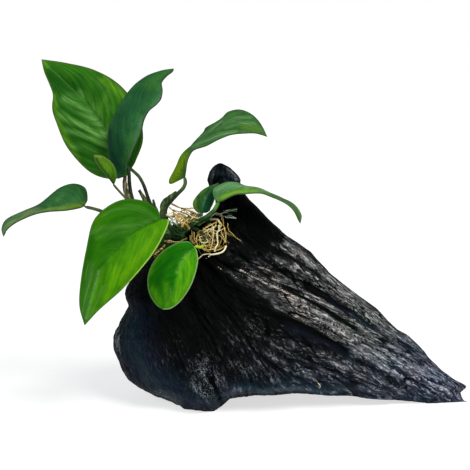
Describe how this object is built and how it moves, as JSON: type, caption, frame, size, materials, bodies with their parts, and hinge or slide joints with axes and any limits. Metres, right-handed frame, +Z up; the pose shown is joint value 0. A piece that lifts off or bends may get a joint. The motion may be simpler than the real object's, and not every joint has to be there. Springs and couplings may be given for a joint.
{
  "type": "anubias plant on driftwood",
  "caption": "Broad-leaved anubias whose rhizome and roots cling to the shoulder of a black, wedge-shaped piece of driftwood that rests on a rounded foot and a thin split tail.",
  "frame": {"origin": "on the floor, under the middle of the whole object's box", "axes": "+X to the right along the floor towards the wood's tail, +Y away from the pictured front, +Z up"},
  "size_m": [0.2651, 0.0978, 0.1954],
  "materials": {
    "black_wood": "rough, dark, fissured along the grain",
    "rhizome_green": "lumpy, half matt",
    "stalk_green": "smooth, half gloss",
    "dry_sheath": "dry, streaked",
    "root_cream": "fibrous, matt",
    "upper_left_green": "glossy leaf with sunk veins",
    "upright_green": "glossy leaf with sunk veins",
    "young_green": "glossy leaf with sunk veins",
    "front_large_green": "glossy leaf with sunk veins",
    "front_oval_green": "glossy leaf with sunk veins",
    "far_left_green": "glossy leaf with sunk veins",
    "arching_up_green": "glossy leaf with sunk veins",
    "low_right_green": "glossy leaf with sunk veins",
    "small_dark_green": "glossy leaf with sunk veins"
  },
  "bodies": {
    "root": {"driftwood": "black_wood", "leaf_arching_up": "arching_up_green", "leaf_far_left": "far_left_green", "leaf_front_large": "front_large_green", "leaf_front_oval": "front_oval_green", "leaf_low_right": "low_right_green", "leaf_small_dark": "small_dark_green", "leaf_upper_left": "upper_left_green", "leaf_upright": "upright_green", "leaf_young": "young_green", "rhizome": "rhizome_green", "root_beige": "root_cream", "root_brown": "root_cream", "root_curl": "root_cream", "root_foot": "root_cream", "root_gold_cross": "root_cream", "root_gold_low": "root_cream", "root_gold_top": "root_cream", "root_gold_upper": "root_cream", "root_inner": "root_cream", "root_left": "root_cream", "root_long": "root_cream", "root_neck": "root_cream", "root_neck_low": "root_cream", "root_right": "root_cream", "root_thick": "root_cream", "sheath_green": "dry_sheath", "sheath_middle": "dry_sheath", "sheath_short": "dry_sheath", "sheath_tall": "dry_sheath", "stalk_arching_up": "stalk_green", "stalk_far_left": "stalk_green", "stalk_front_large": "stalk_green", "stalk_front_oval": "stalk_green", "stalk_low_right": "stalk_green", "stalk_small_dark": "stalk_green", "stalk_upper_left": "stalk_green", "stalk_upright": "stalk_green", "stalk_young": "stalk_green"}
  },
  "joints": []
}
